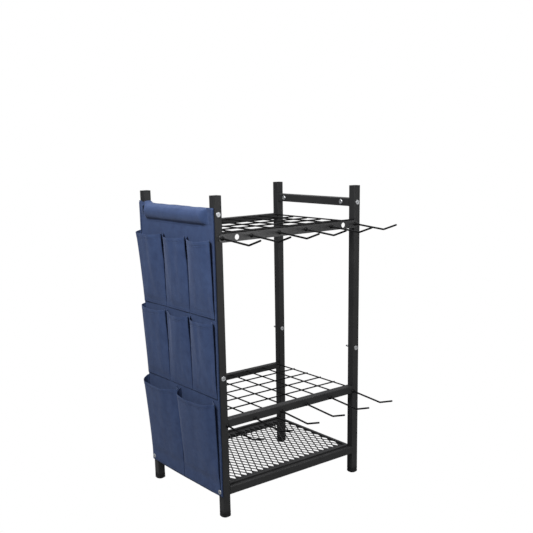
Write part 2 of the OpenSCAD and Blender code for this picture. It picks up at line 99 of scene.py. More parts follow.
def bumped(tree, bsdf, height, strength, distance, edge=0.0):
    """Bump from a height, over edges rounded by a radius in metres."""
    bump = add(tree, "ShaderNodeBump", {"Strength": strength, "Distance": distance})
    tree.links.new(height, bump.inputs["Height"])
    if edge:
        bevel = add(tree, "ShaderNodeBevel", {"Radius": edge}, samples=6)
        tree.links.new(bevel.outputs["Normal"], bump.inputs["Normal"])
    tree.links.new(bump.outputs["Normal"], bsdf.inputs["Normal"])


# Materials
def coat(name, dark, light, rough_lo, rough_hi, grain, edge, specular):
    """Powder coat or plastic: fine orange-peel bump, a little dust in the broad noise, rounded edges."""
    material, tree, bsdf = new_material(name)
    place = coords(tree)
    dust = noise(tree, place, scale=9.0, detail=5.0, rough=0.6)
    peel = noise(tree, place, scale=1500.0, detail=3.0, rough=0.6)
    colour = ramp(tree, dust, lo=0.35, hi=0.7, dark=dark, light=light)
    tree.links.new(colour, bsdf.inputs["Base Color"])
    tree.links.new(scalar(tree, dust, rough_lo, rough_hi), bsdf.inputs["Roughness"])
    bsdf.inputs["Specular IOR Level"].default_value = specular
    bumped(tree, bsdf, peel, strength=grain, distance=0.0003, edge=edge)
    return material


def zinc_plate(dark, light, rough_lo, rough_hi):
    """Bright zinc of the bolts and nuts, with fine cloudy spots."""
    material, tree, bsdf = new_material("zinc_plate")
    place = coords(tree)
    spots = noise(tree, place, scale=260.0, detail=4.0, rough=0.6)
    colour = ramp(tree, spots, lo=0.3, hi=0.75, dark=dark, light=light)
    tree.links.new(colour, bsdf.inputs["Base Color"])
    tree.links.new(scalar(tree, spots, rough_lo, rough_hi), bsdf.inputs["Roughness"])
    bsdf.inputs["Metallic"].default_value = 1.0
    grain = noise(tree, place, scale=2200.0)
    bumped(tree, bsdf, grain, strength=0.12, distance=0.0002, edge=0.0003)
    return material


# Scale of the wave texture that gives one band in a metre
BAND_SCALE = 0.314


def canvas_cloth(name, dark, light, pitch):
    """Plain weave with its threads a pitch apart in the cloth's own UV in metres, and mottled dye."""
    material, tree, bsdf = new_material(name)
    uv = coords(tree, "UV")
    place = coords(tree)
    weave = add(tree, "ShaderNodeMath", operation="MULTIPLY")
    for socket, direction in enumerate(("X", "Y")):
        bands = add(tree, "ShaderNodeTexWave", {"Scale": BAND_SCALE / pitch, "Distortion": 0.6,
                                                "Detail": 2.0, "Detail Scale": 2.0},
                    bands_direction=direction)
        tree.links.new(uv, bands.inputs["Vector"])
        tree.links.new(bands.outputs["Fac"], weave.inputs[socket])
    mottled = noise(tree, place, scale=34.0, detail=6.0, rough=0.62)
    slub = noise(tree, place, scale=420.0, detail=3.0, rough=0.6)
    dye = add(tree, "ShaderNodeMath", {1: 0.35}, operation="MULTIPLY_ADD")
    tree.links.new(slub, dye.inputs[0])
    tree.links.new(mottled, dye.inputs[2])
    shade = add(tree, "ShaderNodeMix", data_type="RGBA", blend_type="MULTIPLY")
    shade.inputs["Factor"].default_value = 0.22
    colour = ramp(tree, dye.outputs[0], lo=0.45, hi=0.95, dark=dark, light=light)
    tree.links.new(colour, shade.inputs["A"])
    tree.links.new(weave.outputs[0], shade.inputs["B"])
    tree.links.new(shade.outputs["Result"], bsdf.inputs["Base Color"])
    bsdf.inputs["Roughness"].default_value = 0.92
    bsdf.inputs["Specular IOR Level"].default_value = 0.25
    bsdf.inputs["Sheen Weight"].default_value = 0.12
    bsdf.inputs["Sheen Roughness"].default_value = 0.5
    bsdf.inputs["Sheen Tint"].default_value = (0.55, 0.62, 0.85, 1.0)
    bumped(tree, bsdf, weave.outputs[0], strength=0.35, distance=0.0004)
    return material


FRAME = coat("frame_coat", dark=(0.0115, 0.0115, 0.012), light=(0.0175, 0.0175, 0.018),
             rough_lo=0.40, rough_hi=0.52, grain=0.30, edge=0.0008, specular=0.35)
PLATE = coat("plate_coat", dark=(0.0125, 0.0125, 0.013), light=(0.018, 0.018, 0.019),
             rough_lo=0.27, rough_hi=0.37, grain=0.16, edge=0.0004, specular=0.6)
WIRE = coat("wire_coat", dark=(0.0018, 0.0018, 0.002), light=(0.0036, 0.0036, 0.0039),
            rough_lo=0.42, rough_hi=0.55, grain=0.15, edge=0.0, specular=0.12)
PLASTIC = coat("black_plastic", dark=(0.005, 0.005, 0.0055), light=(0.009, 0.009, 0.0095),
               rough_lo=0.48, rough_hi=0.6, grain=0.25, edge=0.0006, specular=0.3)
ZINC = zinc_plate(dark=(0.42, 0.43, 0.44), light=(0.60, 0.61, 0.62), rough_lo=0.34, rough_hi=0.56)
CANVAS = canvas_cloth("canvas_navy", dark=(0.0212, 0.0385, 0.099), light=(0.0360, 0.0628, 0.147),
                      pitch=0.0011)
THREAD = canvas_cloth("canvas_thread", dark=(0.022, 0.036, 0.088), light=(0.040, 0.060, 0.128),
                      pitch=0.0004)

SLOT_MATERIAL = {"frame_coat": FRAME, "plate_coat": PLATE, "wire_coat": WIRE,
                 "black_plastic": PLASTIC, "zinc": ZINC, "canvas": CANVAS}
CRISP_ANGLE = math.radians(32)
slot_of = {s["node"]: s["material_slot"] for s in frame["record"]["subparts"]}
for name, obj in nodes.items():
    obj.data.materials.clear()
    obj.data.materials.append(SLOT_MATERIAL[slot_of[name]])
    if slot_of[name] != "canvas" and name != "shelf_mesh":
        for polygon in obj.data.polygons:
            polygon.use_smooth = True
        obj.data.set_sharp_from_angle(angle=CRISP_ANGLE)


# Mesh helpers
def mesh_object(name, verts, faces, material, uvs=None, smooth=True):
    """A mesh from points and UVs in metres."""
    mesh = bpy.data.meshes.new(name)
    mesh.from_pydata([tuple(v) for v in verts], [], [tuple(f) for f in faces])
    mesh.materials.append(material)
    if uvs is not None:
        layer = mesh.uv_layers.new(name="metres")
        loops = np.zeros(len(mesh.loops), dtype=np.int32)
        mesh.loops.foreach_get("vertex_index", loops)
        layer.data.foreach_set("uv", np.asarray(uvs, dtype=np.float32)[loops].ravel())
    mesh.validate()
    for polygon in mesh.polygons:
        polygon.use_smooth = smooth
    obj = bpy.data.objects.new(name, mesh)
    bpy.context.scene.collection.objects.link(obj)
    return obj


def cloth(name, points, uv, thickness, outward):
    """A sheet of canvas from a (rows, columns, 3) array of points in mm, thickened by a modifier."""
    rows, cols = points.shape[:2]
    idx = np.arange(rows * cols).reshape(rows, cols)
    faces = np.stack([idx[:-1, :-1], idx[:-1, 1:], idx[1:, 1:], idx[1:, :-1]], axis=-1).reshape(-1, 4)
    obj = mesh_object(name, points.reshape(-1, 3) * MM, faces.tolist(), CANVAS, uv.reshape(-1, 2) * MM)
    mod = obj.modifiers.new("thickness", "SOLIDIFY")
    mod.thickness = thickness * MM
    mod.offset = outward
    mod.use_even_offset = False
    return obj


def sheet_area(points):
    """Area in square metres of a sheet of points in mm."""
    a = points[1:, 1:] - points[:-1, :-1]
    b = points[1:, :-1] - points[:-1, 1:]
    return float(np.linalg.norm(np.cross(a, b), axis=-1).sum() / 2) * MM * MM


def distance_along(line):
    """Distance of each point of a polyline from its first point, along the line."""
    step = np.linalg.norm(np.diff(line, axis=0), axis=1)
    return np.concatenate([[0.0], np.cumsum(step)])


def resample(line, count):
    """A number of points spread evenly along a polyline."""
    line = np.asarray(line, dtype=float)
    along = distance_along(line)
    want = np.linspace(0.0, along[-1], count)
    return np.stack([np.interp(want, along, line[:, k]) for k in range(line.shape[1])], axis=1)


CURVE_STEPS = 14
PHASE_SPAN = 6.28


def smooth_path(ctrl, count):
    """Catmull-Rom curve through control points, resampled evenly."""
    c = np.array(ctrl, dtype=float)
    c = np.vstack([2 * c[0] - c[1], c, 2 * c[-1] - c[-2]])
    dense = []
    for i in range(1, len(c) - 2):
        for q in np.linspace(0, 1, CURVE_STEPS, endpoint=False):
            dense.append(0.5 * (2 * c[i] + (c[i + 1] - c[i - 1]) * q
                                + (2 * c[i - 1] - 5 * c[i] + 4 * c[i + 1] - c[i + 2]) * q ** 2
                                + (3 * c[i] - c[i - 1] - 3 * c[i + 1] + c[i + 2]) * q ** 3))
    dense.append(c[-2])
    return resample(dense, count)


def waves(a, b, seed, count, low=0.5, high=2.5):
    """Smooth repeatable wobble of two coordinates, about -1..1."""
    rng = np.random.default_rng(seed)
    total = np.zeros(np.broadcast(a, b).shape)
    for _ in range(count):
        f, g = rng.uniform(low, high, 2) * rng.choice([-1, 1], 2)
        total = total + np.sin(2 * math.pi * (f * a + g * b) + rng.uniform(0, PHASE_SPAN))
    return total / math.sqrt(count)


def soft_step(x):
    """Rises smoothly from 0 to 1 while x goes from 0 to 1."""
    x = np.clip(x, 0, 1)
    return x * x * (3 - 2 * x)


def bell(x):
    return np.exp(-np.square(x))


# Stitching, in mm: each stitch is a small six-sided bead, thinner at its ends
STITCH_L = 3.4
STITCH_GAP = 1.7
THREAD_W = 0.9
THREAD_LIFT = 0.15
STITCH_ARCH = 0.28
BEAD_SIDES = 6
BEAD_SHARES = ((0, 0.25), (0.18, 0.9), (0.5, 1.0), (0.82, 0.9), (1, 0.25))
OUTWARD = np.array([-1.0, 0.0, 0.0])
thread_verts, thread_faces, thread_uvs = [], [], []


def add_stitch(start, end, normal):
    """One bead of thread between two points, arched over the cloth."""
    run = (end - start) / (np.linalg.norm(end - start) + 1e-9)
    normal = normal / (np.linalg.norm(normal) + 1e-9)
    side = np.cross(run, normal)
    base = len(thread_verts)
    for q, r in BEAD_SHARES:
        mid = start * (1 - q) + end * q + normal * (THREAD_LIFT + STITCH_ARCH * math.sin(math.pi * q))
        for k in range(BEAD_SIDES):
            a = 2 * math.pi * k / BEAD_SIDES
            offset = side * (math.cos(a) * 0.5 * r) + normal * (math.sin(a) * 0.4 * r)
            thread_verts.append((mid + offset * THREAD_W) * MM)
            thread_uvs.append((q * STITCH_L * MM, a * MM))
    for ring in range(len(BEAD_SHARES) - 1):
        for k in range(BEAD_SIDES):
            i = base + ring * BEAD_SIDES + k
            j = base + ring * BEAD_SIDES + (k + 1) % BEAD_SIDES
            thread_faces.append((i, j, j + BEAD_SIDES, i + BEAD_SIDES))
    last = base + (len(BEAD_SHARES) - 1) * BEAD_SIDES
    thread_faces.append(tuple(base + k for k in reversed(range(BEAD_SIDES))))
    thread_faces.append(tuple(last + k for k in range(BEAD_SIDES)))


def stitch_line(path, normals=None):
    """Row of stitches along a path of points in mm, on a cloth that faces outward unless told."""
    path = np.asarray(path, dtype=float)
    if normals is None:
        normals = np.tile(OUTWARD, (len(path), 1))
    along = distance_along(path)
    s = STITCH_GAP
    while s + STITCH_L < along[-1] - STITCH_GAP:
        start, end = [np.array([np.interp(q, along, path[:, k]) for k in range(3)])
                      for q in (s, s + STITCH_L)]
        normal = np.array([np.interp(s + STITCH_L / 2, along, normals[:, k]) for k in range(3)])
        add_stitch(start, end, normal)
        s += STITCH_L + STITCH_GAP


# Canvas organiser, in mm: the boxes of its closed solids give the places of the cloth
back_lo, back_hi = [np.array(v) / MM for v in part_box("canvas_back")]
sleeve_lo, sleeve_hi = [np.array(v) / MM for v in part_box("canvas_sleeve")]
bar_lo, bar_hi = [np.array(v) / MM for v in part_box("left_top_bar")]
X_OUT = back_lo[0]
CANVAS_T = back_hi[0] - back_lo[0]
Y0, Y1 = back_lo[1], back_hi[1]
Z0, Z1 = back_lo[2], back_hi[2]
BAR_X = (bar_lo[0] + bar_hi[0]) / 2
BAR_Z = (bar_lo[2] + bar_hi[2]) / 2
PANEL_TOP = sleeve_lo[2] + 3.0
EDGE_INSET = 0.4
SHEET_INSET = 0.05
SHEET_T = CANVAS_T - 2 * SHEET_INSET
HEM_W = 7.4
HEM_T = 0.5
ROLL_T = 1.3
POCKET_T = 1.1


def keep(obj, replaced, **facts):
    """Attaches a sheet of canvas to the root and hides the solids that it stands for. Its facts are not used.
    """
    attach(obj, "root")
    if replaced:
        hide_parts(*replaced)


def panel_uv(yy, zz):
    return np.stack([yy - Y0, zz - Z0], axis=-1)


def build_back():
    """Back panel: one cloth that ends inside the roll, hung flat and slightly uneven."""
    margin, fade = 30, 40
    hollow, lower_sag, sag_height = 1.2, 1.2, 60
    drift_span, drift_cap = 400, 0.9
    ripple, ripple_pitch, ripple_width = 0.21, 23.0, 14
    ys = np.linspace(Y0 + EDGE_INSET, Y1 - EDGE_INSET, num=160)
    zs = np.linspace(Z0, PANEL_TOP, num=260)
    yy, zz = np.meshgrid(ys, zs)
    inner = soft_step((yy - Y0 - margin) / fade) * soft_step((Y1 - margin - yy) / fade)
    drift = 0.8 * inner * waves((yy - Y0) / drift_span, (zz - Z0) / drift_span, seed=11, count=6)
    front_edge = 1 - soft_step((yy - Y0) / ripple_width)
    lower_edge = 1 - soft_step((zz - Z0) / sag_height)
    xx = X_OUT + CANVAS_T - SHEET_INSET - inner * hollow + np.minimum(drift, drift_cap) * 0.5
    y_edge = yy + ripple * np.sin((zz - Z0) / ripple_pitch) * front_edge
    z_edge = zz - lower_sag * np.sin(math.pi * (yy - Y0) / (Y1 - Y0)) * lower_edge
    return cloth("canvas_back_panel", np.stack([xx, y_edge, z_edge], axis=-1), panel_uv(yy, zz), SHEET_T, 1.0)


# Section of a side hem: shares of its width with the height there, in mm
HEM_SECTION = ((-0.5, -0.55), (-0.46, 0.1), (-0.3, 0.35), (0.0, 0.42), (0.3, 0.35), (0.46, 0.1), (0.5, -0.55))
HEM_LIFT = 0.3
HEM_STITCH_SHARES = (-0.3, 0.3)
HEM_STITCH_OUT = 0.75
HEM_ROW_PITCH = 6


def build_hem(name, y, z_low, z_high, seed):
    """Folded side hem of the back panel: a narrow upright strip with two rows of stitches."""
    line = resample([(X_OUT + HEM_LIFT, y, z_low), (X_OUT + HEM_LIFT, y, z_high)],
                    max(12, int((z_high - z_low) / HEM_ROW_PITCH)))
    across = np.array([0.0, -1.0, 0.0])
    rows = []
    for q, h in HEM_SECTION:
        pucker = 0.12 * np.sin(np.arange(len(line)) * 1.9 + seed) * (abs(q) < 0.4)
        rows.append(line + across * (q * HEM_W) + OUTWARD * (HEM_LIFT + h + pucker)[:, None])
    points = np.stack(rows, axis=0)
    shape = points.shape[:2]
    uv = np.stack([np.broadcast_to(distance_along(line), shape),
                   np.broadcast_to(np.linspace(0, HEM_W, len(HEM_SECTION))[:, None], shape)], axis=-1)
    obj = cloth(name, points, uv, HEM_T, 0.0)
    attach(obj, "root")
    for q in HEM_STITCH_SHARES:
        stitch_line(line + across * (q * HEM_W) + OUTWARD * HEM_STITCH_OUT)
    return obj


# The front hem runs the panel's whole height, the rear one shows above the pockets
back_panel = build_back()
hem_y = HEM_W / 2 + EDGE_INSET
rim_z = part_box("pocket_upper_1")[1][2] / MM
hem_pieces = [build_hem("canvas_hem_front", Y0 + hem_y, Z0 + 1, Z1 - 1, 0),
              build_hem("canvas_hem_back", Y1 - hem_y, rim_z - 4, Z1 - 1, 1)]
keep(back_panel, ["canvas_back"], flat=((Y1 - Y0) * MM, (PANEL_TOP - Z0) * MM), held="hung",
     rests_on=["canvas_sleeve_roll"], with_pieces=hem_pieces)


FLAP_COLUMNS = 44
FLAP_STITCH_COLUMNS = (18, 24)
FLAP_STITCH_OUT = 0.2


def build_flap(name, y_a, y_b, front):
    """Flat top corner of the panel over a post. The front one runs on into the flattened end of the roll,
    the back one is puffed up beside the roll's end and stands up a little over the post."""
    overlap = 6
    reach = 6.5
    puff = 3.6
    belly = 1.4
    rise = 4.0
    dip = 1.5
    zs = np.linspace(PANEL_TOP - overlap, Z1, num=60)
    share, zz = np.meshgrid(np.linspace(0, 1, FLAP_COLUMNS), zs)
    reach_in = 0.0 if front else reach * soft_step((zz - BAR_Z - 6) / 5)
    yy = (y_a - reach_in) * (1 - share) + y_b * share
    xx = np.full_like(yy, X_OUT + CANVAS_T - 0.3)
    xx = xx - 0.6 * np.sin((zz - PANEL_TOP) / 9.0) ** 2 * soft_step((zz - PANEL_TOP) / 30)
    if front:
        xx = xx - 0.7 * soft_step((zz - BAR_Z + 20) / 10) * soft_step((yy - y_a - 8) / 12)
    else:
        near = bell((yy - y_a) / 8.0) * (1 - 0.6 * soft_step((zz - BAR_Z - 6) / 8))
        upper = soft_step((zz - (BAR_Z - 22)) / 14)
        xx = xx - (puff * near + belly * np.sin(math.pi * (yy - y_a) / (y_b - y_a))) * upper
        zz = zz + soft_step((zz - BAR_Z) / 24) * (rise * soft_step((yy - y_a) / 12) - dip * near)
    points = np.stack([xx, yy, zz], axis=-1)
    obj = cloth(name, points, panel_uv(yy, zz), SHEET_T, 1.0)
    height = (zs[-1] - zs[0]) * MM
    keep(obj, [], flat=(sheet_area(points) / height, height), held="hung", rests_on=["canvas_back_panel"])
    if front:
        for column in FLAP_STITCH_COLUMNS:
            stitch_line(points[:, column] + OUTWARD * FLAP_STITCH_OUT)


build_flap("canvas_flap_front", Y0 + EDGE_INSET, sleeve_lo[1] + 8.0, True)
build_flap("canvas_flap_back", sleeve_hi[1] + 0.5, Y1 - EDGE_INSET, False)

# Section of the roll, in mm. Its outer side and its two ends at the panel are measured from the panel's
# outer face, the rest from the middle of the bar, and all heights from the middle of the bar.
ROLL_START = ((2.2, -39), (2.0, -36), (0.9, -31.4))
ROLL_OUTER = ((-1.8, -28.4), (-6.0, -25.4), (-10.2, -20.4), (-13.1, -13.0), (-14.2, -3.5), (-11.4, 5.4),
              (-6.0, 11.4))
ROLL_INNER = ((-9, 14.6), (4, 15.0), (12, 13.2), (16.4, 7), (17.4, -2), (15.8, -12), (10.5, -20), (2, -24.4))
ROLL_END = ((6.5, -27.0), (3.2, -30), (2.4, -35))
ROLL_BACK_GAP = 5.0
ROLL_STITCH_DROP = 35.0
ROLL_STITCH_OUT = 1.3
ROLL_STITCH_SPAN = slice(22, -16)
ROLL_ROWS = 96
ROLL_COLUMNS = 170
FRONT_TAPER = 26
BACK_TAPER = 22
FRONT_LIFT = 3.0
BACK_LIFT = 6.5


def build_roll():
    """Roll of canvas round the left top bar: full on top, undercut below, its hem sewn to the panel. It
    flattens into the front flap and sinks in behind the back one."""
    ctrl = [(X_OUT + x, BAR_Z + z) for x, z in ROLL_START + ROLL_OUTER]
    ctrl += [(BAR_X + x, BAR_Z + z) for x, z in ROLL_INNER]
    ctrl += [(X_OUT + x, BAR_Z + z) for x, z in ROLL_END]
    section = smooth_path(ctrl, ROLL_ROWS)
    run = np.gradient(section, axis=0)
    run /= np.linalg.norm(run, axis=1, keepdims=True)
    normal = np.stack([-run[:, 1], run[:, 0]], axis=1)
    y_a, y_b = sleeve_lo[1] + EDGE_INSET, sleeve_hi[1] - ROLL_BACK_GAP
    ys = np.linspace(y_a, y_b, ROLL_COLUMNS)
    yy, ss = np.meshgrid(ys, np.linspace(0, 1, len(section)))
    flute = 0.4 * waves((yy - y_a) / 360, ss * 0.6, seed=21, count=5, low=0.6, high=2.6)
    gather = 0.3 * np.sin((yy - y_a) / 11.0 + 3 * ss)
    front_end = 1 - soft_step((yy - y_a) / FRONT_TAPER)
    back_end = 1 - soft_step((y_b - yy) / BACK_TAPER)
    push = (flute + gather) * np.sin(math.pi * ss) ** 0.5 * (1 - front_end) * (1 - back_end)
    px = section[:, 0][:, None] + normal[:, 0][:, None] * push
    pz = section[:, 1][:, None] + normal[:, 1][:, None] * push
    sunk = X_OUT + ROLL_END[-1][0]
    px = np.where(px < sunk, px + (sunk - px) * np.maximum(front_end ** 1.5, 0.95 * back_end), px)
    lift = FRONT_LIFT * front_end + BACK_LIFT * back_end * (px < BAR_X + 6)
    pz = pz + soft_step((pz - BAR_Z) / 14) * lift
    points = np.stack([px, yy, pz], axis=-1)
    uv = np.stack([yy - y_a, ss * distance_along(section)[-1]], axis=-1)
    obj = cloth("canvas_sleeve_roll", points, uv, ROLL_T, 0.0)
    width = (y_b - y_a) * MM
    keep(obj, ["canvas_sleeve"], flat=(width, sheet_area(points) / width), held="hung",
         rests_on=["left_top_bar"])
    seam = np.stack([np.full(len(ys), X_OUT - ROLL_STITCH_OUT), ys,
                     np.full(len(ys), BAR_Z - ROLL_STITCH_DROP)], axis=1)
    stitch_line(seam[ROLL_STITCH_SPAN])


build_roll()

# Plan of a pocket as shares of its width, from back to front, and of its depth. The back side is square or
# soft. The front side is folded under itself or ends in a plain crease.
SQUARE_SIDE = [(0.0, 0.0), (0.012, 0.30), (0.045, 0.66), (0.11, 0.88), (0.24, 0.98), (0.5, 1.0)]
SOFT_SIDE = [(0.0, 0.0), (0.012, 0.10), (0.08, 0.34), (0.19, 0.64), (0.34, 0.92), (0.5, 1.0)]
FOLD_SIDE = [(0.68, 0.95), (0.83, 0.78), (0.93, 0.58), (0.985, 0.46), (0.999, 0.38), (0.98, 0.29),
             (0.93, 0.19), (0.89, 0.08), (0.89, 0.0)]
CREASE_SIDE = [(0.68, 0.95), (0.83, 0.78), (0.93, 0.58), (0.98, 0.42), (0.997, 0.29), (0.999, 0.19),
               (0.994, 0.10), (0.988, 0.04), (0.985, 0.0)]
LIP_SHARE = 0.45
LIP_OUT = 6.0
FLAT_DEPTH = 0.7
EVEN_SHARE = 0.35
FOLD_FROM = 0.6
FOLD_SPAN = 0.3
RIM_HEM = 14.0
RIM_STITCH_DROP = 11.5
POCKET_COLUMNS = 110
POCKET_ROWS = 94
RIM_ROWS = 18
FACE_START = 0.06
FACE_END = 0.86
FACE_FADE = 0.12
LEAN_LIMIT = 0.035
BULGE_LIMIT = 4.0
LEAST_STANDOFF = 0.55
BASE_STANDOFF = 0.3
EDGE_SINK = 0.5
EDGE_GAP = 0.6
DEPTH_SPARE = 0.8
CALM_HEIGHT = 30.0
SEAM_ALLOWANCE = 4
BACK_EDGE_INSETS = (3.5, 2.0)
STITCH_OUT = 0.6
BOTTOM_STITCH_ROW = 3


def pocket_plan(w, depth, rise, opened, lean, back_side, at_hem):
    """One level of a pocket: how far it stands out and its place across, folded beside the hem all the
    way down and elsewhere only near the rim."""
    belly = EVEN_SHARE * opened + (1 - EVEN_SHARE) * opened ** 0.8
    d = FLAT_DEPTH + (depth - FLAT_DEPTH) * belly * soft_step(opened * 8)
    folded = 1.0 if at_hem else float(soft_step((rise - FOLD_FROM) / FOLD_SPAN))
    front_side = folded * np.array(FOLD_SIDE) + (1 - folded) * np.array(CREASE_SIDE)
    lip = folded * min(LIP_OUT, 0.6 * d + 0.3) / LIP_SHARE
    ctrl = []
    for f, g in back_side + [tuple(point) for point in front_side]:
        leaning = lean * g * w * 0.5 * opened * (0.2 < f < 0.8)
        ctrl.append((g * (max(d, lip) if f > 0.9 else d), (0.5 - f) * (w - 1.0) + leaning))
    return smooth_path(ctrl, POCKET_COLUMNS)


def pocket_wobble(u, rise, w, height, calm, seed):
    """Standoff beside the plain form: flutes, pulls of the cloth, the rim's hem and its row of stitches."""
    face = soft_step((u - FACE_START) / FACE_FADE) * soft_step((FACE_END - u) / FACE_FADE)
    broad = waves(u, rise * 0.16, seed + 1, count=4, low=0.8, high=2.4) * 1.7 * rise ** 0.9
    narrow = waves(u, rise * 0.10, seed + 2, count=3, low=3.0, high=5.0) * 0.55 * rise ** 0.5
    uneven = waves(u, rise * 0.5, seed + 3, count=4, low=0.6, high=2.0) * 0.8
    back_pull = 1.1 * bell((u - 0.2 - 0.5 * rise) / 0.05) * bell((rise - 0.25) / 0.22)
    front_pull = 0.9 * bell((u - 0.75 + 0.35 * rise) / 0.04) * bell((rise - 0.2) / 0.2)
    loose = (broad + narrow + uneven + back_pull + front_pull) * (0.25 + 0.75 * rise) * calm
    from_rim = (1 - rise) * height
    hem = 0.9 * soft_step((RIM_HEM + 1.2 - from_rim) / 1.4)
    pucker = 0.25 * np.sin(u * w / 1.6) * bell((from_rim - RIM_HEM) / 3.0)
    groove = 0.7 * bell((from_rim - RIM_STITCH_DROP) / 1.6)
    return face * (loose + hem + pucker - groove)


def build_pocket(node, seed, sag, dip, back_side, at_hem, shift=(0.0, 0.0), z_seam=None, z_flat=None):
    """One pocket: a cloth sewn to the panel down both sides and along the bottom, open at its rim. The
    shift moves its front and its back side towards the front."""
    lo, hi = [np.array(v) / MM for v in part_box(node)]
    y_front, y_back = lo[1] - shift[0], hi[1] - shift[1]
    w = y_back - y_front
    z_seam = lo[2] if z_seam is None else z_seam
    z_flat = z_seam if z_flat is None else z_flat
    height = hi[2] - z_seam
    depth = X_OUT - lo[0] - DEPTH_SPARE
    rim_share = 1 - RIM_HEM / height
    rises = np.concatenate([np.linspace(0, rim_share, POCKET_ROWS, endpoint=False),
                            np.linspace(rim_share, 1, RIM_ROWS)])
    lean = np.random.default_rng(seed).uniform(-LEAN_LIMIT, LEAN_LIMIT)
    grid = np.zeros((len(rises), POCKET_COLUMNS, 3))
    for k, rise in enumerate(rises):
        opened = np.clip((z_seam + rise * height - z_flat) / (hi[2] - z_flat), 0, 1)
        plan = pocket_plan(w, depth, rise, opened, lean, back_side, at_hem)
        grid[k, :, 0] = -plan[:, 0]
        grid[k, :, 1] = plan[:, 1]
    u = np.linspace(0, 1, POCKET_COLUMNS)[None, :]
    rise = rises[:, None]
    calm = np.clip((z_seam + rise * height - z_flat) / CALM_HEIGHT, 0, 1)
    grid[:, :, 0] -= pocket_wobble(u, rise, w, height, calm, seed)
    out_share = np.clip(-grid[:, :, 0] / depth, 0, 1.1)
    grid[:, :, 2] = (z_seam + EDGE_GAP + rise * (height - 2 * EDGE_GAP) - sag * out_share * rise ** 2
                     - dip * np.sin(math.pi * u) ** 2 * rise ** 3)
    grid[:, :, 0] = np.clip(grid[:, :, 0] + X_OUT - BASE_STANDOFF, lo[0] - BULGE_LIMIT,
                            X_OUT - LEAST_STANDOFF)
    grid[:, :, 1] += (y_back + y_front) / 2
    # The first column ends in the panel, and the first two stay inside its back edge
    grid[:, 0, 0] = X_OUT + EDGE_SINK
    for column, inset in enumerate(BACK_EDGE_INSETS):
        grid[:, column, 1] = np.minimum(grid[:, column, 1], Y1 - inset)
    area = sheet_area(grid)
    width = float(distance_along(grid[-1])[-1]) + SEAM_ALLOWANCE
    shape = grid.shape[:2]
    uv = np.stack([np.broadcast_to(u * width, shape), np.broadcast_to(rise * height, shape)], axis=-1)
    obj = cloth(f"canvas_{node}", grid, uv, POCKET_T, 0.0)
    full = max(height * 1.02, area / (width * MM) / MM * 1.001)
    keep(obj, [node], flat=(width * MM, full * MM), held="hung", area=area, rests_on=["canvas_back_panel"])
    normals = np.cross(np.gradient(grid, axis=1), np.gradient(grid, axis=0))
    normals /= np.linalg.norm(normals, axis=-1, keepdims=True) + 1e-9
    if normals[len(rises) // 2, POCKET_COLUMNS // 2, 0] > 0:
        normals = -normals
    last = int(POCKET_COLUMNS * FACE_END)
    rim_row = int(np.argmin(np.abs(rises - (1 - RIM_STITCH_DROP / height))))
    for row, first in ((rim_row, 2), (BOTTOM_STITCH_ROW, 4)):
        span = normals[row, first:last]
        stitch_line(grid[row, first:last] + span * STITCH_OUT, span)


# How far the borders of each row's pockets lie in front of the solids' borders, from back to front
UPPER_BORDERS = (0, 6.5, 4.5, 0)
MIDDLE_BORDERS = (0, 7.0, 2.5, 0)
for k in range(3):
    side = SQUARE_SIDE if k == 0 else SOFT_SIDE
    build_pocket(f"pocket_upper_{k + 1}", 100 + k, sag=4.0, dip=3.0, back_side=side, at_hem=k == 2,
                 shift=(UPPER_BORDERS[k + 1], UPPER_BORDERS[k]))
    build_pocket(f"pocket_middle_{k + 1}", 200 + k, sag=4.0, dip=3.0, back_side=side, at_hem=k == 2,
                 shift=(MIDDLE_BORDERS[k + 1], MIDDLE_BORDERS[k]))
for k in range(2):
    build_pocket(f"pocket_bottom_{k + 1}", 300 + k, sag=11.0, dip=4.0, back_side=SQUARE_SIDE,
                 at_hem=k == 1, z_seam=Z0 + 2.5, z_flat=Z0 + 30.0)

threads = mesh_object("canvas_stitching", thread_verts, thread_faces, THREAD, thread_uvs)
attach(threads, "root")

# Hooks, in mm: the rod and ball of the solid, and what the coat and the weld add to them
SOLID_ROD_D = 5.0
SOLID_BALL_D = 11.0
ROD_D = SOLID_ROD_D + 0.5
BALL_D = SOLID_BALL_D + 1.5
SHAFT_L = 122.0
TIP_L = 53.0
BEND_R = 13.0
FALL = math.radians(4)
RISE = math.radians(18.5)
ROD_SIDES = 24
BALL_SIDES = 32
WELD_FILLET = [(6.2, 3.0), (7.2, 2.75), (8.6, 2.65)]
ROD_CRISP_ANGLE = math.radians(50)
ACROSS = np.array([1.0, 0.0, 0.0])


def hook_path():
    """Middle line of a hook from its seat: falling shaft, rounded corner, rising tip."""
    shaft = np.array([0.0, -math.cos(FALL), -math.sin(FALL)])
    tip = np.array([0.0, -math.cos(RISE), math.sin(RISE)])
    cut = BEND_R * math.tan((FALL + RISE) / 2)
    up = np.cross(shaft, ACROSS)
    pivot = shaft * (SHAFT_L - cut) + up * BEND_R
    path = [shaft * s for s in np.linspace(1.0, SHAFT_L - cut, 14)]
    for angle in np.linspace(0, FALL + RISE, 10)[1:]:
        path.append(pivot - up * BEND_R * math.cos(angle) + shaft * BEND_R * math.sin(angle))
    path += [shaft * SHAFT_L + tip * s for s in np.linspace(cut + 2, TIP_L, 8)]
    return np.array(path)


